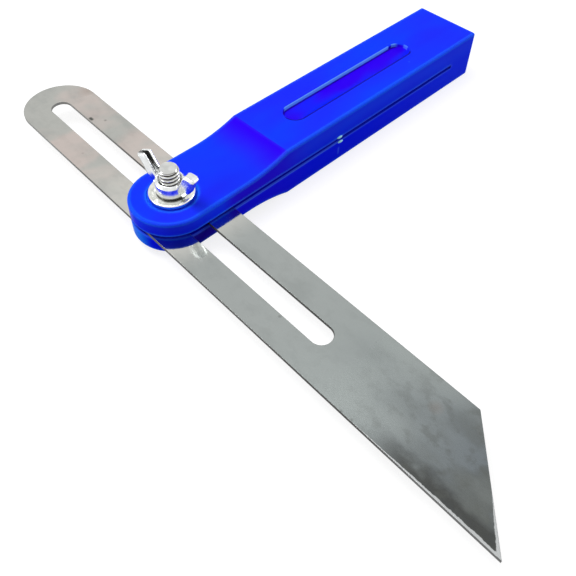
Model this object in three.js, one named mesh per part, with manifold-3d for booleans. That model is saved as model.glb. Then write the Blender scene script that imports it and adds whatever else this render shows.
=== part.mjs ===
// Sliding t-bevel: a plastic handle, a slotted steel blade, and the bolt, washer and wing nut
// that clamp them together. Millimetres, +Z up. The origin lies on the pivot axis, in the plane
// that the tool rests on. +X runs along the handle to its rear end.

import * as THREE from "three";
import { mergeVertices } from "three/addons/utils/BufferGeometryUtils.js";
import Module from "manifold-3d";

const wasm = await Module();
wasm.setup();

// Driving dimensions of the handle
const handleWidth = 25.4;
const blockHeight = 17.2;
const headThickness = 11.5;
const headLead = 0.65;
const pivotToRear = 133.4;
const pivotToCrease = 35.5;
const rampRadius = 53;
const edgeRadius = 0.8;
const rearWeb = 12.5;
const seatDepth = 0.4;
const creaseToPocket = 11.7;
const pocketToRear = 25.8;
const pocketWidth = 7.8;
const pocketDepth = 1.5;
const creaseToGate = 24.4;
const gateLength = 1.3;
const gateHeight = 0.9;
const gateStandOff = 0.35;

// Driving dimensions of the blade
const bladeWidth = 25.4;
const bladeThickness = 1.0;
const bladeAngle = -92 * Math.PI / 180;
const bladeOffset = 0.34;
const pivotToRoundCentre = 64.8;
const pivotToMitre = 117.0;
const mitreAngle = 45.6 * Math.PI / 180;
const roundEndWeb = 9.8;
const slotTipReach = 66.6;

// Driving dimensions of the carriage bolt
const boltDiameter = 6.1;
const boltLength = 21.3;
const boltEndChamfer = 0.7;
const neckOversize = 0.1;
const boltHeadRadius = 7.1;
const boltHeadRim = 0.6;
const boltCrownRadius = 3.0;

// Driving dimensions of the washer
const washerRadius = 7.0;
const washerThickness = 1.4;

// Driving dimensions of the wing nut
const hubBaseRadius = 4.7;
const hubTopRadius = 4.3;
const hubHeight = 4.4;
const hubRounding = 0.6;
const wingReach = 10.9;
const wingRise = 10.5;
const wingThickness = 3.3;
const wingRounding = 0.55;
const wingOuterRounding = 1.3;
const channelWidth = 1.4;
const channelShift = 0.15;
const wingAngle = -80 * Math.PI / 180;

// Points of a wing and of its channel, as shares of the wing's reach and rise: up the outer
// side, across the top, which is bent down a little on the first wing, and down the side that
// faces the bolt
const wingOuterShares = [[0.50, 0.04], [0.74, 0.30], [0.86, 0.60], [1.0, 0.87]];
const wingTopShares = [[0.62, 0.91], [0.70, 1.0]];
const wingInnerShares = [[0.46, 0.56], [0.36, 0.42], [0.30, 0.29]];
const channelBackShares = [[0.40, 0.37], [0.54, 0.43], [0.63, 0.61], [1.0, 1.0]];

// Clearances, the overrun of a cut past its face, and the distance that welds two vertices
const seatGap = 0.3;
const seatMargin = 0.6;
const sideGap = 0.3;
const turnGap = 0.3;
const threadGap = 0.12;
const overrun = 5.0;
const weldDistance = 0.0001;

// Facets on the round shapes
const ARC_STEPS = 28;
const SMALL_ARC_STEPS = 10;
const ROUND_STEPS = 40;
const EDGE_STEPS = 3;

// Heights, places and fits that follow from the dimensions
const midHeight = blockHeight / 2;
const headTop = midHeight + headThickness / 2;
const headBottom = midHeight - headThickness / 2;
const jawGap = bladeThickness + 2 * sideGap;
const bladeSlotDepth = pivotToRear - rearWeb;
const pocketStart = pivotToCrease + creaseToPocket;
const pocketEnd = pivotToRear - pocketToRear;
const neckWidth = boltDiameter + neckOversize;
const bladeSlotWidth = neckWidth + 2 * sideGap;
const slotRoundReach = pivotToRoundCentre + bladeWidth / 2 - roundEndWeb;
const boltHeadHeight = headBottom + seatDepth - seatGap;
const boltEnd = boltHeadHeight + boltLength;
const neckTop = midHeight + jawGap / 2 - seatGap / 2;
const washerBase = headTop - seatDepth + seatGap;
const nutBase = washerBase + washerThickness + seatGap;

// Solids: joining and cutting of closed meshes

function solidOf(geometry) {
  const bare = geometry.clone();
  bare.deleteAttribute("normal");
  bare.deleteAttribute("uv");
  const merged = mergeVertices(bare, weldDistance);
  return new wasm.Manifold(new wasm.Mesh({
    numProp: 3,
    vertProperties: new Float32Array(merged.attributes.position.array),
    triVerts: new Uint32Array(merged.index.array),
  }));
}

function geometryOf(solid) {
  const { vertProperties, triVerts } = solid.getMesh();
  const geometry = new THREE.BufferGeometry();
  geometry.setAttribute("position", new THREE.BufferAttribute(vertProperties, 3));
  geometry.setIndex(new THREE.BufferAttribute(triVerts, 1));
  return geometry;
}

function joined(parts) {
  return parts.reduce((whole, part) => whole.add(part));
}

function without(solid, cuts) {
  return cuts.reduce((rest, cut) => rest.subtract(cut), solid);
}

// A flat outline in X and Y, pushed up from the height base by the height
function plate(outline, base, height) {
  const geometry = new THREE.ExtrudeGeometry(outline, {
    depth: height,
    bevelEnabled: false,
    curveSegments: ARC_STEPS,
  });
  geometry.translate(0, 0, base);
  return solidOf(geometry);
}

// A round solid about the Z axis, from a profile of [radius, height] points
function turned(profile) {
  const points = profile.map(([radius, height]) => new THREE.Vector2(radius, height));
  const geometry = new THREE.LatheGeometry(points, ROUND_STEPS);
  geometry.rotateX(Math.PI / 2);
  return solidOf(geometry);
}

function rod(radius, base, height) {
  return turned([[0, base], [radius, base], [radius, base + height], [0, base + height]]);
}

function obround(x0, x1, width) {
  const radius = width / 2;
  const shape = new THREE.Shape();
  shape.moveTo(x0 + radius, -radius);
  shape.lineTo(x1 - radius, -radius);
  shape.absarc(x1 - radius, 0, radius, -Math.PI / 2, Math.PI / 2, false);
  shape.lineTo(x0 + radius, radius);
  shape.absarc(x0 + radius, 0, radius, Math.PI / 2, Math.PI * 3 / 2, false);
  return shape;
}

// Handle

// One ramp, from the crease down to the head, as [x, height above the mid-plane] points: a
// hollow arc that ends level with the head's face
function rampPoints() {
  const drop = (blockHeight - headThickness) / 2;
  const creaseTurn = Math.acos(1 - drop / rampRadius);
  const levelEnd = pivotToCrease - rampRadius * Math.sin(creaseTurn);
  const points = [];
  for (let i = SMALL_ARC_STEPS; i >= 0; i--) {
    const turn = creaseTurn * i / SMALL_ARC_STEPS;
    points.push([
      levelEnd + rampRadius * Math.sin(turn),
      headThickness / 2 + rampRadius * (1 - Math.cos(turn)),
    ]);
  }
  return points;
}

// The side view of the handle, pushed across its width with rounded long edges
function handleBody() {
  const half = blockHeight / 2;
  const front = -headLead - handleWidth / 2 - overrun;
  const ramp = rampPoints();
  const upper = [[pivotToRear, half], ...ramp, [front, headThickness / 2]];
  const lower = upper.map(([x, z]) => [x, -z]).reverse();
  const inset = edgeRadius;
  const outline = new THREE.Shape();
  [...upper, ...lower].forEach(([x, z], i) => {
    const x1 = x === pivotToRear ? x - inset : x;
    const z1 = z - Math.sign(z) * inset;
    if (i === 0) outline.moveTo(x1, z1);
    else outline.lineTo(x1, z1);
  });
  outline.closePath();
  const geometry = new THREE.ExtrudeGeometry(outline, {
    depth: handleWidth - 2 * inset,
    bevelEnabled: true,
    bevelThickness: inset,
    bevelSize: inset,
    bevelSegments: EDGE_STEPS,
  });
  geometry.translate(0, 0, inset - handleWidth / 2);
  geometry.rotateX(Math.PI / 2);
  geometry.translate(0, 0, midHeight);
  return solidOf(geometry);
}

// The plan view of the handle: a half-round head and a square rear end
function handlePlan() {
  const radius = handleWidth / 2;
  const shape = new THREE.Shape();
  shape.moveTo(pivotToRear + overrun, -radius - overrun);
  shape.lineTo(pivotToRear + overrun, radius + overrun);
  shape.lineTo(-headLead, radius + overrun);
  shape.lineTo(-headLead, radius);
  shape.absarc(-headLead, 0, radius, Math.PI / 2, Math.PI * 3 / 2, false);
  shape.lineTo(-headLead, -radius - overrun);
  shape.closePath();
  return plate(shape, -overrun, blockHeight + 2 * overrun);
}

// What rounds the upper and lower edge of the half-round head
function headEdgeCutter(upward) {
  const radius = handleWidth / 2;
  const face = upward ? headTop : headBottom;
  const sign = upward ? 1 : -1;
  const profile = [[radius + overrun, face - sign * edgeRadius]];
  for (let i = 0; i <= EDGE_STEPS; i++) {
    const turn = Math.PI / 2 * i / EDGE_STEPS;
    profile.push([
      radius - edgeRadius + edgeRadius * Math.cos(turn),
      face + sign * edgeRadius * (Math.sin(turn) - 1),
    ]);
  }
  profile.push([radius - edgeRadius, face + sign * overrun]);
  profile.push([radius + overrun, face + sign * overrun]);
  if (upward) profile.reverse();
  profile.push(profile[0]);
  const ring = turned(profile);
  const front = new THREE.Shape();
  const reach = radius + 2 * overrun;
  front.moveTo(-reach, -reach);
  front.lineTo(0, -reach);
  front.lineTo(0, reach);
  front.lineTo(-reach, reach);
  front.closePath();
  const rim = ring.intersect(plate(front, -2 * overrun, blockHeight + 4 * overrun));
  const geometry = geometryOf(rim);
  geometry.translate(-headLead, 0, 0);
  return solidOf(geometry);
}

function bladeSlotCut() {
  const reach = handleWidth / 2 + overrun;
  const front = -headLead - reach;
  const shape = new THREE.Shape();
  shape.moveTo(front, -reach);
  shape.lineTo(bladeSlotDepth, -reach);
  shape.lineTo(bladeSlotDepth, reach);
  shape.lineTo(front, reach);
  shape.closePath();
  return plate(shape, midHeight - jawGap / 2, jawGap);
}

function pocketCuts() {
  const outline = obround(pocketStart, pocketEnd, pocketWidth);
  return [
    plate(outline, blockHeight - pocketDepth, pocketDepth + overrun),
    plate(outline, -overrun, pocketDepth + overrun),
  ];
}

function boltHoleCuts() {
  const neckReach = neckWidth / Math.SQRT2 + turnGap;
  const shankReach = boltDiameter / 2 + turnGap;
  return [
    rod(washerRadius + seatMargin, headTop - seatDepth, seatDepth + overrun),
    rod(boltHeadRadius + seatMargin, headBottom - overrun, seatDepth + overrun),
    rod(neckReach, headBottom - overrun, midHeight - headBottom + overrun),
    rod(shankReach, midHeight, headTop - midHeight + overrun),
  ];
}

// The two trimmed gate marks, one on each lip of the blade slot
function gateMarks() {
  const centre = jawGap / 2 + gateHeight / 2;
  return [-centre, centre].map((height) => {
    const box = new THREE.BoxGeometry(gateLength, 2 * gateStandOff, gateHeight);
    box.translate(pivotToCrease + creaseToGate, -handleWidth / 2, midHeight + height);
    return solidOf(box);
  });
}

function handle() {
  const cuts = [
    headEdgeCutter(true),
    headEdgeCutter(false),
    bladeSlotCut(),
    ...pocketCuts(),
    ...boltHoleCuts(),
  ];
  const body = handleBody().intersect(handlePlan());
  return joined([without(body, cuts), ...gateMarks()]);
}

// Blade, drawn along +X from the pivot to the tip and then turned to its place

function bladeOutline() {
  const half = bladeWidth / 2;
  const near = bladeOffset - half;
  const far = bladeOffset + half;
  const slope = half / Math.tan(mitreAngle);
  const shape = new THREE.Shape();
  shape.moveTo(-pivotToRoundCentre, near);
  shape.lineTo(pivotToMitre + slope, near);
  shape.lineTo(pivotToMitre - slope, far);
  shape.lineTo(-pivotToRoundCentre, far);
  shape.absarc(-pivotToRoundCentre, bladeOffset, half, Math.PI / 2, Math.PI * 3 / 2, false);
  shape.holes.push(obround(-slotRoundReach, slotTipReach, bladeSlotWidth));
  return shape;
}

function blade() {
  const sheet = plate(bladeOutline(), midHeight - bladeThickness / 2, bladeThickness);
  const geometry = geometryOf(sheet);
  geometry.rotateZ(bladeAngle);
  return solidOf(geometry);
}

// Carriage bolt, head down: the square neck rides in the blade's slot

function headProfile() {
  const profile = [[0, 0], [boltCrownRadius, 0]];
  const rise = boltHeadHeight - boltHeadRim;
  for (let i = 1; i <= SMALL_ARC_STEPS; i++) {
    const share = i / SMALL_ARC_STEPS;
    profile.push([
      boltCrownRadius + (boltHeadRadius - boltCrownRadius) * Math.sin(share * Math.PI / 2),
      rise * (1 - Math.cos(share * Math.PI / 2)),
    ]);
  }
  profile.push([boltHeadRadius, boltHeadHeight], [0, boltHeadHeight]);
  return profile;
}

function carriageBolt() {
  const radius = boltDiameter / 2;
  const root = boltHeadHeight / 2;
  const neck = new THREE.BoxGeometry(neckWidth, neckWidth, neckTop - root);
  neck.translate(0, 0, (neckTop + root) / 2);
  neck.rotateZ(bladeAngle);
  const shank = turned([
    [0, root],
    [radius, root],
    [radius, boltEnd - boltEndChamfer],
    [radius - boltEndChamfer, boltEnd],
    [0, boltEnd],
  ]);
  return joined([turned(headProfile()), solidOf(neck), shank]);
}

// Washer

function washer() {
  const bore = boltDiameter / 2 + turnGap;
  return turned([
    [bore, washerBase],
    [washerRadius, washerBase],
    [washerRadius, washerBase + washerThickness],
    [bore, washerBase + washerThickness],
    [bore, washerBase],
  ]);
}

// Wing nut

function hub() {
  return turned([
    [0, nutBase],
    [hubBaseRadius, nutBase],
    [hubBaseRadius, nutBase + hubRounding],
    [hubTopRadius, nutBase + hubHeight - hubRounding],
    [hubTopRadius - hubRounding, nutBase + hubHeight],
    [0, nutBase + hubHeight],
  ]);
}

function wingPoints(shares) {
  return shares.map(([out, up]) => new THREE.Vector2(wingReach * out, wingRise * up));
}

// An outline given the wing's thickness, with its edges rounded, standing on the nut's base
function wingSlab(points, rounding) {
  const geometry = new THREE.ExtrudeGeometry(new THREE.Shape(points), {
    depth: wingThickness - 2 * rounding,
    bevelEnabled: true,
    bevelThickness: rounding,
    bevelSize: rounding,
    bevelOffset: -rounding,
    bevelSegments: EDGE_STEPS,
  });
  geometry.translate(0, 0, rounding - wingThickness / 2);
  return solidOf(geometry);
}

// The outer side of a wing carried on past both of its ends, and closed well inside the nut
function wingOuterSide() {
  const side = wingPoints(wingOuterShares);
  const before = side[0].clone().lerp(side[1], -1);
  const beyond = side.at(-2).clone().lerp(side.at(-1), 3);
  return [
    before,
    ...side,
    beyond,
    new THREE.Vector2(-wingReach, beyond.y),
    new THREE.Vector2(-wingReach, before.y),
  ];
}

// A leaning tongue with a flat top, its outer side rounded more than its other edges
function wingTongue(side) {
  const outline = wingPoints([...wingOuterShares, wingTopShares[side], ...wingInnerShares]);
  const outerSide = wingSlab(wingOuterSide(), wingOuterRounding);
  return wingSlab(outline, wingRounding).intersect(outerSide);
}

// The channel in a wing, open at its top and on the side that faces the bolt
function wingChannel() {
  const back = wingPoints(channelBackShares);
  const foot = back[0];
  const top = back[back.length - 1];
  const outline = new THREE.Shape([
    ...back,
    new THREE.Vector2(top.x, top.y + overrun),
    new THREE.Vector2(0, top.y + overrun),
    new THREE.Vector2(0, foot.y),
  ]);
  return plate(outline, -channelShift - channelWidth / 2, channelWidth);
}

function wing(side) {
  const geometry = geometryOf(wingTongue(side).subtract(wingChannel()));
  geometry.rotateX(Math.PI / 2);
  geometry.translate(0, 0, nutBase);
  geometry.rotateZ(wingAngle + side * Math.PI);
  return solidOf(geometry);
}

function wingNut() {
  const shell = joined([hub(), ...[0, 1].map(wing)]);
  const bore = rod(boltDiameter / 2 + threadGap, nutBase - overrun, boltLength + overrun);
  return without(shell, [bore]);
}

// Assembly

function piece(name, solid, color, roughness, metalness) {
  const material = new THREE.MeshStandardMaterial({ color, roughness, metalness });
  const mesh = new THREE.Mesh(geometryOf(solid), material);
  mesh.name = name;
  return mesh;
}

const bevel = new THREE.Group();
bevel.add(piece("handle", handle(), 0x1c33f0, 0.25, 0.0));
bevel.add(piece("blade", blade(), 0xa8a9a6, 0.35, 1.0));
bevel.add(piece("carriage_bolt", carriageBolt(), 0xd2d4d3, 0.22, 1.0));
bevel.add(piece("washer", washer(), 0xd8dad8, 0.18, 1.0));
bevel.add(piece("wing_nut", wingNut(), 0xdcdedc, 0.18, 1.0));

export default bevel;
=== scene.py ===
# Sliding t-bevel, dressed for a studio picture: a glossy blue plastic handle, a slotted steel blade,
# and the zinc-plated carriage bolt, washer and wing nut that clamp them together.
# The pieces are drawn in millimetres, in the frame's own axes, and scaled to metres when finished.
# The materials measure in millimetres as well, but the cells of their noise are counted per metre.

import math

import bmesh
import bpy
from mathutils import Matrix, Vector


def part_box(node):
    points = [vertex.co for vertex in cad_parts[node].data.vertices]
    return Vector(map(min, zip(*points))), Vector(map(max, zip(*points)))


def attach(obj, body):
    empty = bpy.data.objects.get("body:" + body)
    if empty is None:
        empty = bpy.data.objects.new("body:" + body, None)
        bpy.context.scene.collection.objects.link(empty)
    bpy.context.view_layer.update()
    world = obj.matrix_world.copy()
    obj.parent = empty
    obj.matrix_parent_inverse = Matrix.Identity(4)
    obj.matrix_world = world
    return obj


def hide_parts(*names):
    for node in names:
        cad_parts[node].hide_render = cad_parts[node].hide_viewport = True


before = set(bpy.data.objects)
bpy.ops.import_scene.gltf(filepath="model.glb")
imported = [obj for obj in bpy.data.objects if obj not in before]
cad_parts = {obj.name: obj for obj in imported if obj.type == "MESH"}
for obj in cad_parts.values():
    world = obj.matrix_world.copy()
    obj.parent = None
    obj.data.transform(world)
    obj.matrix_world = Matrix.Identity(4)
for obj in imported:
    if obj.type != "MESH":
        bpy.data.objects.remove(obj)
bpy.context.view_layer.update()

MM = 0.001


def box_in_mm(node):
    low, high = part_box(node)
    return low / MM, high / MM


# Sizes taken from the frame
handle_high = box_in_mm("handle")[1]
blade_low, blade_high = box_in_mm("blade")
bolt_high = box_in_mm("carriage_bolt")[1]
washer_low, washer_high = box_in_mm("washer")
nut_low, nut_high = box_in_mm("wing_nut")

# Handle
HALF_WIDTH = handle_high.y
BLOCK_HEIGHT = handle_high.z
REAR_X = handle_high.x
MID_HEIGHT = BLOCK_HEIGHT / 2
HEAD_THICKNESS = 11.5
HEAD_LEAD = 0.65
CREASE_X = 35.5
CREASE_ROUNDING = 2.0
HOLLOW_START = 22.0
RAMP_RADIUS = 53.0
OUTER_ROUNDING = 0.8
SLOT_END_X = 120.9
FRONT_SLOT_GAP = 1.4
REAR_SLOT_GAP = 1.2
FRONT_LIP_ROUNDING = 0.42
REAR_LIP_ROUNDING = 0.14
POCKET_START_X = 47.2
POCKET_END_X = 107.6
POCKET_WIDTH = 7.8
POCKET_DEPTH = 1.5
POCKET_RIM_ROUNDING = 0.45
POCKET_FLOOR_ROUNDING = 0.5
POCKET_END_LIGHT = (-1.5, 1.0)
SEAT_RADIUS = 7.6
SEAT_DEPTH = 0.4
SEAT_ROUNDING = 0.25
SEAT_MARGIN = 0.4
UPPER_BORE_RADIUS = 3.35
LOWER_BORE_RADIUS = 4.7
GATE_X = 59.9
GATE_STEP = 1.0
GATE_STAND_OFF = 0.32
GATE_MARKS = (
    {"offset": -0.3, "height": 0.95, "length": 2.6, "thickness": 0.5, "slant": -0.1},
    {"offset": 0.2, "height": -1.1, "length": 2.6, "thickness": 0.5, "slant": -0.12},
)
WITNESS_X = GATE_X - 0.4
WITNESS_BOTTOM = MID_HEIGHT - 6.4
WITNESS_TOP = MID_HEIGHT - 2.8

# Blade
BLADE_TURN = math.radians(-92)
BLADE_WIDTH = 25.4
BLADE_THICKNESS = blade_high.z - blade_low.z
BLADE_OFFSET = 0.34
BLADE_NEAR_EDGE = BLADE_OFFSET - BLADE_WIDTH / 2
BLADE_FAR_EDGE = BLADE_OFFSET + BLADE_WIDTH / 2
ROUND_CENTRE = -64.8
MITRE_AT = 117.0
MITRE_ANGLE = math.radians(45.6)
BLADE_SLOT_START = -67.7
BLADE_SLOT_END = 66.6
BLADE_SLOT_WIDTH = 6.8
BLADE_EDGE_ROUNDING = 0.12
TIP_ROUNDING = 0.2
BLADE_SLICE = 8.0
CHIP_ALONG = -52.5
CHIP_ACROSS = 4.3
CHIP_REACH = 0.4

# Carriage bolt
BOLT_RADIUS = 3.05
THREAD_PITCH = 1.27
THREAD_DEPTH = 0.62
THREAD_CREST = 0.14
THREAD_STEEPNESS = 1.4
BOLT_END_CHAMFER = 0.5
NECK_WIDTH = 6.2
NECK_TOP = MID_HEIGHT + 0.65
NECK_ROUNDING = 0.3
THREAD_START = NECK_TOP - 1.0
BOLT_HEAD_RADIUS = bolt_high.x
BOLT_HEAD_HEIGHT = 2.95
BOLT_HEAD_RIM = 0.6
BOLT_RIM_ROUNDING = 0.2
CROWN_FLAT_RADIUS = 2.6
CROWN_STEPS = 18

# Washer
WASHER_RADIUS = washer_high.x
WASHER_BORE = 3.35
WASHER_ROUNDING = 0.4
WASHER_LOWER_CHAMFER = 0.1
WASHER_UPPER_CHAMFER = 0.25
WASHER_STEPS = 128

# Wing nut. The wing tops, their roundings and the channel backs are for the near wing, then the far.
HUB_BASE_RADIUS = 4.6
HUB_TOP_RADIUS = 4.55
HUB_HEIGHT = 4.4
HUB_ROUNDING = 0.8
# How high the painted shade reaches at the foot of the hub
HUB_FOOT_SHADE = 0.6
NUT_BORE = 3.12
NUT_COUNTERSINK_RADIUS = 3.75
WING_TURN = math.radians(-80)
WING_OUTER = ((5.4, 0.4), (8.1, 3.2), (9.4, 6.3), (10.9, 9.1))
WING_TOPS = ((6.75, 9.55), (7.6, 10.5))
WING_INNER = ((5.0, 5.9), (3.9, 4.4), (3.3, 3.0))
WING_THICKNESS = 3.3
WING_ROUNDING = 0.55
WING_OUTER_ROUNDING = 1.15
WING_TOP_ROUNDINGS = (1.1, 0.4)
WING_TOP_REACH = 1.0
CHANNEL_WIDTH = 1.4
CHANNEL_SHIFT = 0.15
CHANNEL_FOOT = ((4.4, 3.9), (5.9, 4.5))
CHANNEL_BACKS = (((6.0, 6.4), (7.5, 10.5)), ((6.9, 6.4), (12.4, 10.5)))
CHANNEL_OPEN = ((12.4, 13.0), (0.5, 13.0), (0.5, 3.9))
NUT_VOXEL = 0.1
NUT_SMOOTHING_ROUNDS = 16

# Studio: the light that the white sky gives, the floor, and the lamps' places, sizes and watts
SKY_LIGHT = 0.3
FLOOR_REACH = 2000.0
FLOOR_DROP = 0.05
FLOOR_GREY = (0.3, 0.3, 0.3, 1)
FLOOR_GLOW = 0.78
WHITE = (1, 1, 1, 1)
SOFT_LIGHTS = (
    {"name": "key", "place": (-150, 250, 800), "size": 500, "power": 4.8},
    {"name": "left", "place": (-700, 400, 250), "size": 400, "power": 2.6},
    {"name": "right", "place": (700, -400, 250), "size": 400, "power": 3.0},
)

# Camera, worked out from the straight edges in the photograph
CAMERA_PLACE = (-81.3, -128.2, 154.2)
CAMERA_TURN_DEGREES = (38.904, -0.819, -44.613)
CAMERA_LENS = 42.74

# How far a cut runs past a face, how near a point must be to a face to count as on it,
# and how near two corners must be to be joined
OVERRUN = 5.0
CLOSE = 0.1
WELD = 0.001

# Corners of a round solid, and the turns in degrees from which an edge is rounded or drawn sharp
ROUND_STEPS = 96
CORNER_DEGREES = 28
SHARP_DEGREES = 40
SHEET_SHARP_DEGREES = 8


# Outlines and solids

def arc(x, y, radius, start, end, steps):
    """Points of an arc about (x, y), from one angle in degrees to another, both ends included."""
    angles = [math.radians(start + (end - start) * i / steps) for i in range(steps + 1)]
    return [(x + radius * math.cos(angle), y + radius * math.sin(angle)) for angle in angles]


def obround(start, end, width, steps):
    radius = width / 2
    front = arc(end - radius, 0, radius, -90, 90, steps)
    return front + arc(start + radius, 0, radius, 90, 270, steps)


def new_piece(name, shape):
    bmesh.ops.recalc_face_normals(shape, faces=shape.faces)
    mesh = bpy.data.meshes.new(name)
    shape.to_mesh(mesh)
    shape.free()
    piece = bpy.data.objects.new(name, mesh)
    bpy.context.scene.collection.objects.link(piece)
    return piece


def prism(outline, low, high, upright=False):
    """A flat outline pushed from low to high: along Z, or along Y if it is drawn upright in X and Z."""
    shape = bmesh.new()
    rings = []
    for level in (low, high):
        points = [(x, level, z) for x, z in outline] if upright else [(x, y, level) for x, y in outline]
        rings.append([shape.verts.new(point) for point in points])
    for ring in rings:
        shape.faces.new(ring)
    for i, corner in enumerate(rings[0]):
        shape.faces.new((rings[0][i - 1], corner, rings[1][i], rings[1][i - 1]))
    return new_piece("prism", shape)


def turned(profile, steps=ROUND_STEPS, closed=False):
    """A round solid about Z from [radius, height] points that end on the axis or close a ring."""
    shape = bmesh.new()
    rings = []
    for radius, height in profile:
        count = steps if radius > 0 else 1
        angles = [2 * math.pi * i / steps for i in range(count)]
        points = [(radius * math.cos(angle), radius * math.sin(angle), height) for angle in angles]
        rings.append([shape.verts.new(point) for point in points])
    pairs = list(zip(rings, rings[1:]))
    if closed:
        pairs.append((rings[-1], rings[0]))
    for lower, upper in pairs:
        for i in range(steps):
            corners = [lower[i % len(lower)], lower[(i + 1) % len(lower)],
                       upper[(i + 1) % len(upper)], upper[i % len(upper)]]
            shape.faces.new(dict.fromkeys(corners))
    return new_piece("turned", shape)


def rod(radius, low, high):
    return turned([(0, low), (radius, low), (radius, high), (0, high)])


def bake_modifiers(piece):
    """Puts a piece's modifiers into its mesh."""
    graph = bpy.context.evaluated_depsgraph_get()
    mesh = bpy.data.meshes.new_from_object(piece.evaluated_get(graph))
    piece.modifiers.clear()
    piece.data = mesh


def combined(piece, other, operation):
    """The exact union, difference or intersection of a piece and another, which is used up."""
    modifier = piece.modifiers.new("cut", "BOOLEAN")
    modifier.operation = operation
    modifier.solver = "EXACT"
    modifier.object = other
    bake_modifiers(piece)
    bpy.data.objects.remove(other)
    return piece


def round_edges(piece, choose, radius, steps):
    """Rounds the corner edges whose middle point the test chooses."""
    shape = bmesh.new()
    shape.from_mesh(piece.data)
    bmesh.ops.remove_doubles(shape, verts=shape.verts, dist=WELD)
    corner = math.radians(CORNER_DEGREES)
    sharp = [edge for edge in shape.edges if edge.is_manifold and edge.calc_face_angle() > corner]
    chosen = [edge for edge in sharp if choose((edge.verts[0].co + edge.verts[1].co) / 2)]
    bmesh.ops.bevel(shape, geom=chosen, offset=radius, segments=steps, profile=0.5,
                    affect="EDGES", clamp_overlap=False, miter_inner="SHARP")
    shape.to_mesh(piece.data)
    shape.free()


def round_edges_by(piece, rounding_at, largest, steps):
    """Rounds each edge by what the rule gives for its middle point, up to the largest rounding."""
    mesh = piece.data
    weights = mesh.attributes.new("bevel_weight_edge", "FLOAT", "EDGE")
    for edge in mesh.edges:
        middle = (mesh.vertices[edge.vertices[0]].co + mesh.vertices[edge.vertices[1]].co) / 2
        weights.data[edge.index].value = rounding_at(middle) / largest
    bevel = piece.modifiers.new("rounded", "BEVEL")
    bevel.limit_method = "WEIGHT"
    bevel.width = largest
    bevel.segments = steps
    bevel.use_clamp_overlap = False
    bake_modifiers(piece)


def slice_faces(piece, spacing):
    """Cuts a piece's faces across at even steps along X, so that its long flat faces shade evenly."""
    shape = bmesh.new()
    shape.from_mesh(piece.data)
    reach = [vertex.co.x for vertex in shape.verts]
    for i in range(math.ceil(min(reach) / spacing), math.ceil(max(reach) / spacing)):
        everything = shape.verts[:] + shape.edges[:] + shape.faces[:]
        bmesh.ops.bisect_plane(shape, geom=everything, plane_co=(i * spacing, 0, 0), plane_no=(1, 0, 0))
    shape.to_mesh(piece.data)
    shape.free()


def finish_piece(piece, name, body, node, material, turn=0.0, sharp=SHARP_DEGREES):
    """Turns a piece to its place, scales it to metres, smooths it and hands it to the frame."""
    piece.name = name
    piece.data.name = name
    piece.data.transform(Matrix.Scale(MM, 4) @ Matrix.Rotation(turn, 4, "Z"))
    piece.data.shade_smooth()
    piece.data.set_sharp_from_angle(angle=math.radians(sharp))
    normals = piece.modifiers.new("flat faces stay flat", "WEIGHTED_NORMAL")
    normals.keep_sharp = True
    normals.weight = 100
    bake_modifiers(piece)
    piece.data.materials.clear()
    piece.data.materials.append(material)
    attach(piece, body)
    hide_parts(node)


# Nodes and the arithmetic of their values

class Value:
    """A node's number. Arithmetic with it adds further nodes to the same tree."""

    def __init__(self, tree, socket):
        self.tree = tree
        self.socket = socket

    def __add__(self, other):
        return maths("ADD", self, other)

    def __sub__(self, other):
        return maths("SUBTRACT", self, other)

    def __rsub__(self, other):
        return maths("SUBTRACT", other, self)

    def __mul__(self, other):
        return maths("MULTIPLY", self, other)

    def __truediv__(self, other):
        return maths("DIVIDE", self, other)

    def __abs__(self):
        return maths("ABSOLUTE", self)

    def ramp(self, low, high, to_low=0.0, to_high=1.0):
        """The value spread smoothly from low..high to other limits, and held at them beyond."""
        inputs = {"Value": self, "From Min": low, "From Max": high, "To Min": to_low, "To Max": to_high}
        node = add(self.tree, "ShaderNodeMapRange", inputs, interpolation_type="SMOOTHSTEP")
        return Value(self.tree, node.outputs[0])

    def between(self, low, high, soft):
        """A mask that is one from low to high and fades over a soft border inside them."""
        return self.ramp(low, low + soft) * self.ramp(high, high - soft)


def join(tree, value, socket):
    """Links a node's value to a socket, or sets the socket to a plain number or colour."""
    if isinstance(value, Value):
        value = value.socket
    if isinstance(value, bpy.types.NodeSocket):
        tree.links.new(value, socket)
    else:
        socket.default_value = value


def add(tree, kind, inputs=None, **settings):
    """A node with its settings, and its inputs either linked or set."""
    node = tree.nodes.new(kind)
    for name, value in settings.items():
        setattr(node, name, value)
    for name, value in (inputs or {}).items():
        join(tree, value, node.inputs[name])
    return node


def maths(operation, a, b=0.0, clamp=False):
    tree = a.tree if isinstance(a, Value) else b.tree
    node = add(tree, "ShaderNodeMath", {0: a, 1: b}, operation=operation, use_clamp=clamp)
    return Value(tree, node.outputs[0])


def from_axis(x, y):
    """The distance in plan from the Z axis."""
    flat = add(x.tree, "ShaderNodeCombineXYZ", {0: x, 1: y})
    node = add(x.tree, "ShaderNodeVectorMath", {0: flat.outputs[0]}, operation="LENGTH")
    return Value(x.tree, node.outputs["Value"])


def from_segment(x, y, start, end):
    """The distance in plan from a stretch of the X axis, the same all round an obround."""
    nearest = maths("MINIMUM", maths("MAXIMUM", x, start), end)
    return from_axis(x - nearest, y)


def mixed(tree, mask, a, b):
    """Two colours mixed by a mask."""
    node = add(tree, "ShaderNodeMix", {0: mask}, data_type="RGBA")
    join(tree, a, node.inputs[6])
    join(tree, b, node.inputs[7])
    return node.outputs[2]


def painted(tree, colour, layers):
    """A colour with further tones laid over it in turn, each through its mask."""
    for mask, tone in layers:
        colour = mixed(tree, mask, colour, tone)
    return colour


def darker(colour, share):
    return tuple(share * channel for channel in colour[:3]) + (1,)


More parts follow.
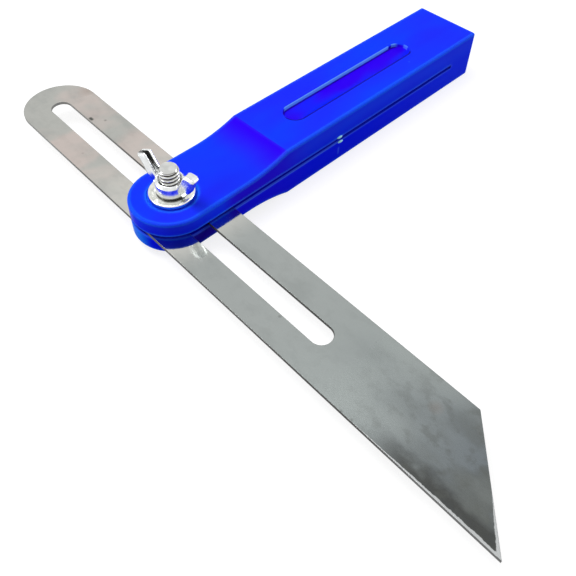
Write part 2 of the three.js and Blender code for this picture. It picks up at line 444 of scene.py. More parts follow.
def new_group(name, inputs, outputs):
    tree = bpy.data.node_groups.new(name, "ShaderNodeTree")
    for label, kind, value in inputs:
        socket = tree.interface.new_socket(name=label, in_out="INPUT", socket_type="NodeSocket" + kind)
        socket.default_value = value
    for label, kind in outputs:
        tree.interface.new_socket(name=label, in_out="OUTPUT", socket_type="NodeSocket" + kind)
    return tree, group_inputs(tree), tree.nodes.new("NodeGroupOutput").inputs


def group_inputs(tree):
    return {socket.name: Value(tree, socket) for socket in tree.nodes.new("NodeGroupInput").outputs}


# Effects that the materials share

def grain_group():
    """Noise on the piece's own coordinates, turned and stretched: grain, flow marks, mottling."""
    tree, entry, out = new_group(
        "grain",
        [("Turn", "Vector", (0, 0, 0)), ("Scale", "Vector", (1, 1, 1)), ("Detail", "Float", 3.0)],
        [("Value", "Float")],
    )
    place = add(tree, "ShaderNodeTexCoord").outputs["Object"]
    turned_place = add(tree, "ShaderNodeMapping", {"Vector": place, "Rotation": entry["Turn"]})
    stretched = add(tree, "ShaderNodeVectorMath", {0: turned_place.outputs[0], 1: entry["Scale"]},
                    operation="MULTIPLY")
    inputs = {"Vector": stretched.outputs[0], "Scale": 1.0, "Detail": entry["Detail"], "Roughness": 0.55}
    noise = add(tree, "ShaderNodeTexNoise", inputs)
    join(tree, noise.outputs[0], out["Value"])
    return tree


def specks_group():
    """Sparse small spots of differing size: dust, pits and stains."""
    tree, entry, out = new_group(
        "specks",
        [("Spacing", "Float", 400.0), ("Size", "Float", 0.12), ("Share", "Float", 0.2)],
        [("Mask", "Float")],
    )
    place = add(tree, "ShaderNodeTexCoord").outputs["Object"]
    cells = add(tree, "ShaderNodeTexVoronoi",
                {"Vector": place, "Scale": entry["Spacing"], "Randomness": 1.0}, feature="F1")
    random = add(tree, "ShaderNodeSeparateColor", {0: cells.outputs["Color"]})
    chosen = maths("LESS_THAN", Value(tree, random.outputs[0]), entry["Share"])
    size = Value(tree, random.outputs[1]) * entry["Size"]
    inside = maths("SUBTRACT", 1.0, Value(tree, cells.outputs["Distance"]) / size, clamp=True)
    join(tree, chosen * inside, out["Mask"])
    return tree


def edges_group():
    """A mask of the rounded edges, from how far a wider bevel would turn the surface."""
    tree, entry, out = new_group(
        "edges", [("Width", "Float", 0.0004), ("Strength", "Float", 4.0)], [("Mask", "Float")])
    soft = add(tree, "ShaderNodeBevel", {"Radius": entry["Width"]}, samples=6)
    own = add(tree, "ShaderNodeNewGeometry").outputs["Normal"]
    likeness = add(tree, "ShaderNodeVectorMath", {0: soft.outputs[0], 1: own}, operation="DOT_PRODUCT")
    turned_by = 1.0 - Value(tree, likeness.outputs["Value"])
    join(tree, maths("MULTIPLY", turned_by, entry["Strength"], clamp=True), out["Mask"])
    return tree


GRAIN = grain_group()
SPECKS = specks_group()
EDGES = edges_group()


def grain(tree, scale, detail, turn=(0, 0, 0)):
    """Noise from zero to one. The scale is in cells per metre, along each axis of the turned piece."""
    inputs = {"Turn": turn, "Scale": scale, "Detail": detail}
    return Value(tree, add(tree, "ShaderNodeGroup", inputs, node_tree=GRAIN).outputs[0])


def specks(tree, spacing, size, share):
    """Spots: spacing is in cells per metre, size in cells, and the share of the cells have one."""
    inputs = {"Spacing": spacing, "Size": size, "Share": share}
    return Value(tree, add(tree, "ShaderNodeGroup", inputs, node_tree=SPECKS).outputs[0])


def edges(tree, width, strength):
    """The rounded edges within a width in millimetres."""
    inputs = {"Width": width * MM, "Strength": strength}
    return Value(tree, add(tree, "ShaderNodeGroup", inputs, node_tree=EDGES).outputs[0])


# Materials

MIDDLE_STEEL = (0.32, 0.35, 0.342, 1)
OLIVE = (0.10, 0.105, 0.095, 1)


def new_material(name):
    material = bpy.data.materials.new(name)
    material.use_nodes = True
    tree = material.node_tree
    tree.nodes.clear()
    shader = add(tree, "ShaderNodeBsdfPrincipled")
    output = add(tree, "ShaderNodeOutputMaterial")
    tree.links.new(shader.outputs[0], output.inputs[0])
    return material, tree, shader.inputs


def set_bump(tree, shader, height, depth):
    bump = add(tree, "ShaderNodeBump", {"Height": height, "Distance": depth * MM, "Strength": 1.0})
    join(tree, bump.outputs[0], shader["Normal"])


def coordinates(tree, turn=0.0):
    """The piece's own x, y and z in millimetres, turned about Z to lie along the piece."""
    place = add(tree, "ShaderNodeTexCoord").outputs["Object"]
    per_mm = 1 / MM
    lying = add(tree, "ShaderNodeMapping",
                {"Vector": place, "Rotation": (0, 0, turn), "Scale": (per_mm, per_mm, per_mm)})
    parts = add(tree, "ShaderNodeSeparateXYZ", {0: lying.outputs[0]})
    return [Value(tree, socket) for socket in parts.outputs]


def from_outline(x, y):
    """How far a point of the handle is in plan from the line between the head's centre and the rear."""
    into_head = maths("MINIMUM", x + HEAD_LEAD, 0.0)
    return from_axis(into_head, y)


def wall_layers(x, y, z):
    """Outer walls, with painted shade darker below, violet behind the blade and in the hollow, and dark
    at the front, and painted light at the round end.
    """
    shaded = (0.001, 0.005, 0.90, 1)
    violet_shade = (0.019, 0.001, 0.80, 1)
    lit_end = (0.004, 0.19, 0.95, 1)
    front_shade = (0.012, 0.0005, 0.28, 1)
    violet = (0.028, 0.001, 0.90, 1)
    walls = from_outline(x, y).ramp(HALF_WIDTH - 0.5, HALF_WIDTH - 0.1)
    hollow = x.between(HOLLOW_START, CREASE_X + 0.3, 0.4) * x.ramp(HOLLOW_START, CREASE_X)
    low = z.ramp(MID_HEIGHT + 6, MID_HEIGHT - 1, 0.12, 0.95)
    rearward = x.ramp(60, 130, 1.0, 0.6)
    by_jaw = z.ramp(MID_HEIGHT - 1, MID_HEIGHT, 0.35, 1.0)
    behind_blade = x.ramp(50, 28) * x.ramp(8, 14)
    lower_jaw = z.ramp(MID_HEIGHT + 0.1, MID_HEIGHT - 0.3)
    round_end = x.ramp(-9, -12) * y.ramp(-5, 0)
    front = x.between(-5, 7, 2) * y.ramp(-9, -11)
    # Painted shade in the crease hollow, low on the walls, behind the blade and at the head's front;
    # painted light at the round end.
    return [
        (hollow * (1.0 - walls), violet),
        (walls * low * rearward, shaded),
        (walls * behind_blade * by_jaw * 0.85, violet_shade),
        (walls * lower_jaw * round_end * 0.8, lit_end),
        (walls * lower_jaw * front * 0.85, front_shade),
    ]


def slot_layers(tree, x, y, z, flow):
    """Painted shade in the slot's depths, painted highlights on its lips, and painted highlights on the
    rounded edges everywhere else.
    """
    lit_edge = (0.025, 0.29, 1.0, 1)
    lit_lip = (0.05, 0.12, 0.95, 1)
    hidden = (0.001, 0.002, 0.60, 1)
    half_gap = FRONT_SLOT_GAP / 2
    from_middle = abs(z - MID_HEIGHT)
    before_end = x.ramp(SLOT_END_X, SLOT_END_X - 0.2)
    below = z.ramp(MID_HEIGHT, MID_HEIGHT - 0.5) * before_end
    in_gap = from_middle.ramp(half_gap, half_gap - 0.15)
    on_gap = from_middle.ramp(half_gap + 0.12, half_gap + 0.03)
    behind_lip = from_outline(x, y).ramp(HALF_WIDTH - 0.5, HALF_WIDTH - 0.7)
    depths = maths("MAXIMUM", in_gap, on_gap * behind_lip) * before_end

    beside_pocket = abs(y).ramp(POCKET_WIDTH / 2 + 1.5, POCKET_WIDTH / 2 + 1)
    beside_pocket *= x.ramp(CREASE_X, POCKET_START_X) * x.ramp(POCKET_END_X + 2, POCKET_END_X + 1)
    under_lip = below * from_middle.ramp(half_gap + 2.2, half_gap + 1.6)
    edge = edges(tree, width=1.8, strength=8.0) * maths("SUBTRACT", 0.85, beside_pocket, clamp=True)
    edge *= 1.0 - under_lip * 0.9

    lips = from_middle.ramp(half_gap + 0.6, half_gap + 0.3)
    lower_lip = from_middle.ramp(half_gap + 0.5, half_gap + 0.2) * below
    lower_lip *= x.ramp(GATE_X + 4, GATE_X, 0.6, 1.0) * flow.ramp(0.35, 0.65, 0.3, 0.9)
    # lit_edge and lit_lip lay painted highlights, and hidden lays painted shade in the gap.
    return [
        (edge * (1.0 - lips), lit_edge),
        (edge * lips * 0.9, lit_lip),
        (lower_lip, lit_lip),
        (depths, hidden),
    ]


def pocket_layers(tree, x, y, z, flow):
    """The pocket in painted shade and highlights: a violet shaded floor that turns blue on its near side,
    dark shaded walls and near rim, and highlights on the far rim and the end.
    """
    violet = (0.030, 0.001, 0.88, 1)
    lit_floor = (0.006, 0.020, 0.98, 1)
    wall_tone = (0.014, 0.001, 0.42, 1)
    dark_rim = (0.006, 0.0005, 0.26, 1)
    painted_highlight = (0.16, 0.44, 1.0, 1)
    radius = POCKET_WIDTH / 2
    half_height = BLOCK_HEIGHT / 2
    ring = from_segment(x, y, POCKET_START_X + radius, POCKET_END_X - radius)
    below_rim = abs(z - MID_HEIGHT).ramp(half_height - 0.25, half_height - 0.5)
    inside = below_rim * ring.ramp(radius + 0.15, radius + 0.05)
    to_near = (y + (flow - 0.5) * 30).ramp(1, -4)
    before_end = x.ramp(POCKET_END_X - 1, POCKET_END_X - 2.4, 0.1, 1.0)
    wall = inside * ring.ramp(radius - 0.6, radius - 0.3) * before_end
    near_rim = ring.between(radius - 0.1, radius + 0.75, 0.15) * y.ramp(1, -1) * before_end
    far_rim = ring.between(radius - 0.1, radius + 0.3, 0.12) * y.ramp(0.8, 2)
    far_rim *= x.between(POCKET_START_X + 2.2, POCKET_END_X - 0.8, 1.2)
    far_rim *= 1.0 - x.between(POCKET_END_X - 5.2, POCKET_END_X - 2.8, 0.8)
    end_rim = ring.between(radius - 0.1, radius + 0.4, 0.12) * y.between(*POCKET_END_LIGHT, 0.6)
    end_rim *= x.ramp(POCKET_END_X - 2, POCKET_END_X - 1)
    # The floor's violet, the wall tone and the dark near rim are painted shade; the far rim and end rim
    # lines are painted highlights.
    return [
        (inside, mixed(tree, to_near, violet, lit_floor)),
        (wall * 0.9, wall_tone),
        (near_rim * 0.9, dark_rim),
        (far_rim * 0.92, painted_highlight),
        (end_rim * 0.45, painted_highlight),
    ]


def gate_layers(tree, x, y, z):
    """The lumps that the gate left on the slot's lips, pale as stress-whitened plastic with a painted
    highlight in it, and a faint mark on the wall below them.
    """
    gate_white = (0.42, 0.88, 1.0, 1)
    witness_mark = (0.05, 0.12, 0.95, 1)
    gate = Vector((GATE_X, -HALF_WIDTH - GATE_STAND_OFF, MID_HEIGHT)) * MM
    place = add(tree, "ShaderNodeTexCoord").outputs["Object"]
    away = add(tree, "ShaderNodeVectorMath", {0: place, 1: gate}, operation="DISTANCE").outputs["Value"]
    near_gate = Value(tree, away).ramp(2.8 * MM, 2.4 * MM)
    stands_out = y.ramp(-HALF_WIDTH - 0.01, -HALF_WIDTH - 0.06)
    witness = abs(x - WITNESS_X).ramp(0.6, 0.2) * y.ramp(-12, -12.5)
    witness *= z.between(WITNESS_BOTTOM, WITNESS_TOP, 0.8)
    # gate_white is partly the lumps' stress-whitened plastic and partly a painted highlight.
    return [(near_gate * stands_out, gate_white), (witness * 0.5, witness_mark)]


def blue_plastic():
    """Glossy royal blue moulding: painted violet shade in its hollows, painted highlights at its edges
    and seat rim, flow marks and dust.
    """
    material, tree, shader = new_material("blue_plastic")
    flow = grain(tree, (22, 60, 60), 2.0)
    skin = grain(tree, (900, 900, 900), 2.0)
    dust = specks(tree, spacing=160.0, size=0.16, share=0.12)
    x, y, z = coordinates(tree)
    deep = (0.013, 0.026, 0.93, 1)
    bright = (0.007, 0.046, 1.0, 1)
    seat_rim_highlight = (0.01, 0.16, 1.0, 1)
    dusty = (0.25, 0.80, 1.0, 1)
    # A painted highlight round the seat's rim.
    on_seat_rim = from_axis(x, y).between(SEAT_RADIUS - 0.15, SEAT_RADIUS + 0.5, 0.2)
    layers = wall_layers(x, y, z) + slot_layers(tree, x, y, z, flow) + pocket_layers(tree, x, y, z, flow)
    layers += [(on_seat_rim * 0.3, seat_rim_highlight), (dust * 0.25, dusty)] + gate_layers(tree, x, y, z)
    body = mixed(tree, flow.ramp(0.3, 0.7), deep, bright)
    join(tree, painted(tree, body, layers), shader["Base Color"])
    join(tree, skin.ramp(0.2, 0.8, 0.13, 0.2), shader["Roughness"])
    shader["IOR"].default_value = 1.49
    shader["Specular IOR Level"].default_value = 0.004
    shader["Subsurface Weight"].default_value = 0.08
    shader["Subsurface Radius"].default_value = (0.2, 0.4, 1.0)
    shader["Subsurface Scale"].default_value = 0.0015
    set_bump(tree, shader, flow * 0.8 + skin * 0.03, 0.06)
    return material


def ground_edge(along, across, nicks):
    """A mask of the bright band ground off the near edge and the tip, wider towards the point."""
    uneven = nicks.ramp(0.35, 0.65, 0.85, 1.1)
    near_width = along.ramp(75, 125, 0.05, 0.8) * uneven
    near = ((across - BLADE_NEAR_EDGE) / near_width).ramp(1.1, 0.85)
    ahead = (MITRE_AT - along) * math.sin(MITRE_ANGLE)
    aside = (BLADE_OFFSET - across) * math.cos(MITRE_ANGLE)
    tip_width = across.ramp(1, -12, 0.02, 0.8) * uneven
    tip = ((ahead + aside) / tip_width).ramp(1.1, 0.85)
    return maths("MAXIMUM", near, tip)


def sheet_tones(tree, along, across, patches):
    """Warm and cool patches at the round end that fade to plain grey steel towards the tip."""
    warm = (0.565, 0.50, 0.465, 1)
    cool = (0.455, 0.46, 0.432, 1)
    pale = (0.62, 0.61, 0.57, 1)
    grey = (0.37, 0.395, 0.385, 1)
    near_patch = along.between(-53, -32, 5)
    leaning = patches + across.ramp(-4, 5, 0.05, -0.07)
    leaning += (0.1 - near_patch * 0.32) * across.ramp(2, -3)
    round_end = mixed(tree, leaning.ramp(0.39, 0.60), warm, cool)
    return painted(tree, round_end, [
        (along.ramp(-40, 0), pale),
        (along.ramp(8, 26), grey),
        (along.ramp(40, 80), MIDDLE_STEEL),
    ])


def tip_layers(tree, along, across, clouds, turn):
    """The darker, clouded and mottled end of the blade, darkest along its near edge."""
    tip = (0.160, 0.180, 0.192, 1)
    burnt = (0.050, 0.050, 0.046, 1)
    broad = grain(tree, (24, 40, 40), 2.0, turn)
    mottle = grain(tree, (260, 330, 300), 5.0, turn)
    drift = along + (broad - 0.5) * 60
    ragged = across - BLADE_NEAR_EDGE + (clouds - 0.5) * 20
    return [
        (drift.ramp(78, 118), tip),
        (drift.ramp(90, 125) * clouds.ramp(0.38, 0.58) * 0.75, OLIVE),
        (ragged.ramp(6.5, 2) * along.ramp(88, 104) * 0.8, burnt),
        (mottle.ramp(0.48, 0.68) * along.ramp(70, 115, 0.06, 0.45), OLIVE),
        (clouds.ramp(0.45, 0.8, 0.0, 0.4), darker(MIDDLE_STEEL, 0.75)),
    ]


def blade_wall_tone(tree, along):
    """The sheared walls of the blade: dark, but paler at the tip and more so at the round end."""
    dark = (0.03, 0.028, 0.026, 1)
    worn = (0.11, 0.11, 0.11, 1)
    pale = (0.17, 0.17, 0.165, 1)
    return painted(tree, dark, [(along.ramp(85, 110), worn), (along.ramp(-20, -55), pale)])


def blade_steel():
    """Cold-rolled strip: patches, a darker clouded tip, stains, pits, sheared walls, a ground edge."""
    material, tree, shader = new_material("blade_steel")
    turn = (0, 0, -BLADE_TURN)
    patches = grain(tree, (60, 34, 30), 3.0, (0, 0, -BLADE_TURN + 0.4))
    clouds = grain(tree, (70, 110, 100), 5.0, turn)
    fine = grain(tree, (1400, 2400, 2000), 3.0, turn)
    nicks = grain(tree, (900, 900, 900), 3.0, turn)
    stains = specks(tree, spacing=75.0, size=0.3, share=0.18)
    pits = specks(tree, spacing=330.0, size=0.24, share=0.1)
    along, across, height = coordinates(tree, -BLADE_TURN)
    rust = (0.27, 0.19, 0.15, 1)
    bright = (0.49, 0.505, 0.505, 1)
    off_chip = from_segment(along, across - CHIP_ACROSS, CHIP_ALONG - CHIP_REACH, CHIP_ALONG + CHIP_REACH)
    chip = off_chip.ramp(0.9, 0.2)
    half = BLADE_THICKNESS / 2
    wall = abs(height - MID_HEIGHT).ramp(half - 0.0005, half - 0.004)
    layers = tip_layers(tree, along, across, clouds, turn) + [
        (stains * 0.4, rust),
        (pits * 0.6, OLIVE),
        (chip, OLIVE),
        (ground_edge(along, across, nicks), bright),
        (wall * 0.9, blade_wall_tone(tree, along)),
    ]
    colour = painted(tree, sheet_tones(tree, along, across, patches), layers)
    join(tree, colour, shader["Base Color"])
    shader["Metallic"].default_value = 1.0
    gloss = fine.ramp(0.3, 0.7, 0.06, 0.1) + along.ramp(20, 90, 0.0, 0.2)
    join(tree, gloss + wall * 0.4, shader["Roughness"])
    set_bump(tree, shader, fine + clouds, 0.004)
    return material


def zinc(name, tint, roughness, *dark_masks):
    """Bright zinc plating: faint clouding, tiny pits, brighter worn edges, and painted shade where masks
    say.
    """
    material, tree, shader = new_material(name)
    clouds = grain(tree, (500, 500, 500), 3.0)
    fine = grain(tree, (2500, 2500, 2500), 2.0)
    pits = specks(tree, spacing=1500.0, size=0.2, share=0.1)
    edge = edges(tree, width=0.2, strength=3.0)
    grime_and_shade = (0.040, 0.034, 0.030, 1)
    worn = (0.92, 0.92, 0.90, 1)
    plated = mixed(tree, clouds.ramp(0.3, 0.7), darker(tint, 0.85), tint)
    # The dark tone is grime in the pits and painted shade under the masks.
    layers = [(pits * 0.2, grime_and_shade), (edge * 0.6, worn)] + [(mask(tree), grime_and_shade) for mask in dark_masks]
    join(tree, painted(tree, plated, layers), shader["Base Color"])
    shader["Metallic"].default_value = 1.0
    join(tree, clouds.ramp(0.3, 0.7, roughness * 0.8, roughness * 1.2), shader["Roughness"])
    set_bump(tree, shader, fine, 0.0004)
    return material


def thread_grooves(tree):
    """A mask of painted shade in the thread's roots, which are nearer to the axis, between the neck and
    the end.
    """
    x, y, z = coordinates(tree)
    groove = from_axis(x, y).ramp(BOLT_RADIUS - 0.12, BOLT_RADIUS - 0.5)
    below_end = z.ramp(bolt_high.z - 0.06, bolt_high.z - 0.12)
    above_neck = z.ramp(NECK_TOP, NECK_TOP + 0.5)
    return groove * (below_end * above_neck)


def channel_shadow(tree):
    """A mask of the inside of the far wing's channel, in front of its leaning back."""
    x, y, z = coordinates(tree, -WING_TURN - math.pi)
    (reach, start), (top_reach, top) = CHANNEL_BACKS[1]
    lean = math.atan2(top_reach - reach, top - start)
    off_middle = abs(y - CHANNEL_SHIFT)
    inside = off_middle.ramp(CHANNEL_WIDTH / 2 + 0.08, CHANNEL_WIDTH / 2 - 0.02)
    out = (x - reach) * math.cos(lean)
    up = (z - (nut_low.z + start)) * math.sin(lean)
    before_back = (out - up).ramp(0.25, 0.1)
    beyond_bolt = x.ramp(BOLT_RADIUS + 0.7, BOLT_RADIUS + 1.0)
    return inside * beyond_bolt * before_back * 0.8


def hub_foot_shade(tree):
    """A mask of painted shade at the foot of the hub's wall, just above the washer."""
    x, y, z = coordinates(tree)
    radius = from_axis(x, y)
    outside = radius.ramp(HUB_TOP_RADIUS - 0.3, HUB_TOP_RADIUS - 0.1)
    on_hub = radius.ramp(HUB_BASE_RADIUS + 0.3, HUB_BASE_RADIUS + 0.1)
    low = z.ramp(nut_low.z + HUB_FOOT_SHADE, nut_low.z + HUB_FOOT_SHADE - 0.3)
    return outside * on_hub * low * 0.8


# Handle

def handle_side():
    """The side view of the handle, as [x, z] points: a block, a crease, a hollow ramp and the head."""
    half = BLOCK_HEIGHT / 2
    head = HEAD_THICKNESS / 2
    turn = math.acos(1 - (half - head) / RAMP_RADIUS)
    level_end = CREASE_X - RAMP_RADIUS * math.sin(turn)
    tangent = CREASE_ROUNDING * math.tan(turn / 2)
    slope = math.degrees(turn)
    crease = arc(CREASE_X + tangent, half - CREASE_ROUNDING, CREASE_ROUNDING, 90, 90 + slope, 4)
    hollow = arc(level_end, head + RAMP_RADIUS, RAMP_RADIUS, slope - 90, -90, 24)
    front = -HEAD_LEAD - HALF_WIDTH - OVERRUN
    upper = [(REAR_X, half)] + crease + hollow[1:] + [(front, head)]
    lower = [(x, -z) for x, z in reversed(upper)]
    return [(x, MID_HEIGHT + z) for x, z in upper + lower]


def handle_plan():
    """The plan of the handle: a half-round head and a square rear end."""
    rear = REAR_X + OVERRUN
    side = HALF_WIDTH + OVERRUN
    head = arc(-HEAD_LEAD, 0, HALF_WIDTH, 90, 270, 64)
    return [(rear, -side), (rear, side), (-HEAD_LEAD, side)] + head + [(-HEAD_LEAD, -side)]


def slot_side():
    """The side view of the blade's slot in the handle: a step narrower behind the gate."""
    front = -HEAD_LEAD - HALF_WIDTH - OVERRUN
    wide = FRONT_SLOT_GAP / 2
    narrow = REAR_SLOT_GAP / 2
    upper = [(front, wide), (GATE_X, wide), (GATE_X + GATE_STEP, narrow)]
    end = arc(SLOT_END_X - narrow, 0, narrow, 90, -90, 8)
    lower = [(x, -z) for x, z in reversed(upper)]
    return [(x, MID_HEIGHT + z) for x, z in upper + end + lower]


def on_side_wall(point):
    """True on the handle's outer walls, seen from above: the two sides and the half-round front."""
    into_head = min(point.x + HEAD_LEAD, 0.0)
    return math.hypot(into_head, point.y) > HALF_WIDTH - CLOSE / 2


def in_slot(point):
    in_gap = abs(point.z - MID_HEIGHT) < (FRONT_SLOT_GAP + CLOSE) / 2
    return in_gap and point.x < SLOT_END_X + CLOSE


def in_pocket(point):
    inside = POCKET_START_X - CLOSE < point.x < POCKET_END_X + CLOSE
    return inside and abs(point.y) < POCKET_WIDTH / 2 + CLOSE


def near_bolt(point):
    return math.hypot(point.x, point.y) < SEAT_RADIUS + SEAT_MARGIN


def outer_edge(point):
    return not (in_slot(point) or in_pocket(point) or near_bolt(point))


def front_lip(point):
    return in_slot(point) and on_side_wall(point) and point.x < GATE_X + GATE_STEP / 2


def rear_lip(point):
    return in_slot(point) and on_side_wall(point) and point.x > GATE_X + GATE_STEP / 2


def pocket_rim(point):
    return in_pocket(point) and abs(point.z - MID_HEIGHT) > BLOCK_HEIGHT / 2 - CLOSE


def pocket_floor(point):
    on_floor = abs(abs(point.z - MID_HEIGHT) - (BLOCK_HEIGHT / 2 - POCKET_DEPTH)) < CLOSE
    return in_pocket(point) and on_floor


def seat_rim(point):
    on_face = abs(point.z - MID_HEIGHT) > HEAD_THICKNESS / 2 - CLOSE
    return on_face and abs(math.hypot(point.x, point.y) - SEAT_RADIUS) < CLOSE


def gate_mark(offset, height, length, thickness, slant):
    """One small trimmed lump of plastic on a lip of the slot."""
    shape = bmesh.new()
    bmesh.ops.create_uvsphere(shape, u_segments=20, v_segments=12, radius=1.0)
    for vertex in shape.verts:
        along = vertex.co.x * length / 2
        vertex.co.x = along + GATE_X + offset
        vertex.co.y = vertex.co.y * GATE_STAND_OFF - HALF_WIDTH
        vertex.co.z = vertex.co.z * thickness + slant * along + MID_HEIGHT + height
    return new_piece("gate_mark", shape)


def make_handle():
    top = MID_HEIGHT + HEAD_THICKNESS / 2
    bottom = MID_HEIGHT - HEAD_THICKNESS / 2
    side = HALF_WIDTH + OVERRUN
    body = prism(handle_side(), -HALF_WIDTH, HALF_WIDTH, upright=True)
    combined(body, prism(handle_plan(), -OVERRUN, BLOCK_HEIGHT + OVERRUN), "INTERSECT")
    combined(body, prism(slot_side(), -side, side, upright=True), "DIFFERENCE")
    pocket = obround(POCKET_START_X, POCKET_END_X, POCKET_WIDTH, 24)
    cutters = [
        prism(pocket, BLOCK_HEIGHT - POCKET_DEPTH, BLOCK_HEIGHT + OVERRUN),
        prism(pocket, -OVERRUN, POCKET_DEPTH),
        rod(SEAT_RADIUS, top - SEAT_DEPTH, top + OVERRUN),
        rod(SEAT_RADIUS, bottom - OVERRUN, bottom + SEAT_DEPTH),
        rod(UPPER_BORE_RADIUS, MID_HEIGHT, top + OVERRUN),
        rod(LOWER_BORE_RADIUS, bottom - OVERRUN, MID_HEIGHT),
    ]
    for cutter in cutters:
        combined(body, cutter, "DIFFERENCE")
    round_edges(body, outer_edge, OUTER_ROUNDING, 6)
    round_edges(body, front_lip, FRONT_LIP_ROUNDING, 3)
    round_edges(body, rear_lip, REAR_LIP_ROUNDING, 2)
    round_edges(body, pocket_rim, POCKET_RIM_ROUNDING, 4)
    round_edges(body, pocket_floor, POCKET_FLOOR_ROUNDING, 4)
    round_edges(body, seat_rim, SEAT_ROUNDING, 3)
    for mark in GATE_MARKS:
        combined(body, gate_mark(**mark), "UNION")
    finish_piece(body, "moulded_handle", "handle", "handle", blue_plastic())


# Blade

def tip_corner(point):
    """True on the blade's two corners at the tip, which run up its walls."""
    return abs(point.z - MID_HEIGHT) < CLOSE and point.x > 0


def face_edge(point):
    return abs(point.z - MID_HEIGHT) > CLOSE


def make_blade():
    half = BLADE_WIDTH / 2
    slope = half / math.tan(MITRE_ANGLE)
    outline = [(MITRE_AT + slope, BLADE_NEAR_EDGE), (MITRE_AT - slope, BLADE_FAR_EDGE)]
    outline += arc(ROUND_CENTRE, BLADE_OFFSET, half, 90, 270, 48)
    low = MID_HEIGHT - BLADE_THICKNESS / 2
    high = MID_HEIGHT + BLADE_THICKNESS / 2
    blade = prism(outline, low, high)
    slot = obround(BLADE_SLOT_START, BLADE_SLOT_END, BLADE_SLOT_WIDTH, 24)
    combined(blade, prism(slot, low - OVERRUN, high + OVERRUN), "DIFFERENCE")
    round_edges(blade, tip_corner, TIP_ROUNDING, 4)
    round_edges(blade, face_edge, BLADE_EDGE_ROUNDING, 3)
    slice_faces(blade, BLADE_SLICE)
    finish_piece(blade, "slotted_blade", "blade", "blade", blade_steel(),
                 BLADE_TURN, SHEET_SHARP_DEGREES)


# Carriage bolt

THREAD_INPUTS = (
    ("Crest Radius", "NodeSocketFloat", BOLT_RADIUS),
    ("Thread Depth", "NodeSocketFloat", THREAD_DEPTH),
    ("Pitch", "NodeSocketFloat", THREAD_PITCH),
    ("Length", "NodeSocketFloat", 10.0),
    ("Chamfer", "NodeSocketFloat", BOLT_END_CHAMFER),
    ("Steps Around", "NodeSocketInt", 72),
    ("Steps Along", "NodeSocketInt", 160),
    ("Material", "NodeSocketMaterial", None),
)


def thread_radius(entry, height, around):
    """The rod's radius: a helix of sloping flanks and flat crests that fades into the end's chamfer."""
    phase = maths("FRACT", height / entry["Pitch"] - around)
    flank = abs(phase * 2.0 - 1.0)
    cut = maths("MULTIPLY", flank - THREAD_CREST, THREAD_STEEPNESS, clamp=True)
    thread = entry["Crest Radius"] - cut * entry["Thread Depth"]
    to_end = entry["Length"] - height
    return maths("MINIMUM", thread, entry["Crest Radius"] - entry["Chamfer"] + to_end)


def thread_tree():
    """A threaded rod along Z: a grid rolled up, with its first and last rows drawn in to the axis."""
    tree = bpy.data.node_groups.new("threaded_rod", "GeometryNodeTree")
    sockets = {}
    for label, kind, value in THREAD_INPUTS:
        socket = tree.interface.new_socket(name=label, in_out="INPUT", socket_type=kind)
        if value is not None:
            socket.default_value = value
        sockets[label] = socket.identifier
    tree.interface.new_socket(name="Geometry", in_out="OUTPUT", socket_type="NodeSocketGeometry")
    entry = group_inputs(tree)
    columns = entry["Steps Around"] + 1.0
    rows = entry["Steps Along"] + 3.0
    grid = add(tree, "GeometryNodeMeshGrid",
               {"Size X": 1.0, "Size Y": 1.0, "Vertices X": columns, "Vertices Y": rows})
    place = add(tree, "GeometryNodeInputPosition").outputs[0]
    flat = add(tree, "ShaderNodeSeparateXYZ", {0: place}).outputs
    around = Value(tree, flat[0]) + 0.5
    row = (Value(tree, flat[1]) + 0.5) * (rows - 1.0)
    height = maths("DIVIDE", row - 1.0, entry["Steps Along"], clamp=True) * entry["Length"]
    off_first_row = maths("GREATER_THAN", row, 0.5)
    off_last_row = maths("LESS_THAN", row, rows - 1.5)
    radius = thread_radius(entry, height, around) * (off_first_row * off_last_row)
    angle = around * (2 * math.pi)
    rolled = add(tree, "ShaderNodeCombineXYZ",
                 {0: radius * maths("COSINE", angle), 1: radius * maths("SINE", angle), 2: height})
    moved = add(tree, "GeometryNodeSetPosition",
                {"Geometry": grid.outputs[0], "Position": rolled.outputs[0]})
    closed = add(tree, "GeometryNodeMergeByDistance",
                 {"Geometry": moved.outputs[0], "Distance": WELD})
    real = add(tree, "GeometryNodeRealizeInstances", {"Geometry": closed.outputs[0]})
    coated = add(tree, "GeometryNodeSetMaterial",
                 {"Geometry": real.outputs[0], "Material": entry["Material"]})
    tree.links.new(coated.outputs[0], tree.nodes.new("NodeGroupOutput").inputs[0])
    return tree, sockets


def threaded_rod(base, end, material):
    tree, sockets = thread_tree()
    piece = new_piece("threaded_rod", bmesh.new())
    modifier = piece.modifiers.new("thread", "NODES")
    modifier.node_group = tree
    modifier[sockets["Length"]] = end - base
    modifier[sockets["Material"]] = material
    bake_modifiers(piece)
    shape = bmesh.new()
    shape.from_mesh(piece.data)
    bmesh.ops.translate(shape, verts=shape.verts, vec=(0, 0, base))
    bmesh.ops.recalc_face_normals(shape, faces=shape.faces)
    shape.to_mesh(piece.data)
    shape.free()
    return piece


def bolt_head():
    """The domed head, crown down, with a small flat on the crown and a rounded rim."""
    rise = BOLT_HEAD_HEIGHT - BOLT_HEAD_RIM
    spread = BOLT_HEAD_RADIUS - CROWN_FLAT_RADIUS
    dome = [(0, 0)]
    for i in range(CROWN_STEPS + 1):
        turn = math.pi / 2 * i / CROWN_STEPS
        dome.append((CROWN_FLAT_RADIUS + spread * math.sin(turn), rise * (1 - math.cos(turn))))
    rounding = BOLT_RIM_ROUNDING
    rim = arc(BOLT_HEAD_RADIUS - rounding, BOLT_HEAD_HEIGHT - rounding, rounding, 0, 90, 4)
    return turned(dome + rim + [(0, BOLT_HEAD_HEIGHT)])


def above_head(point):
    return point.z > BOLT_HEAD_HEIGHT / 2 + CLOSE


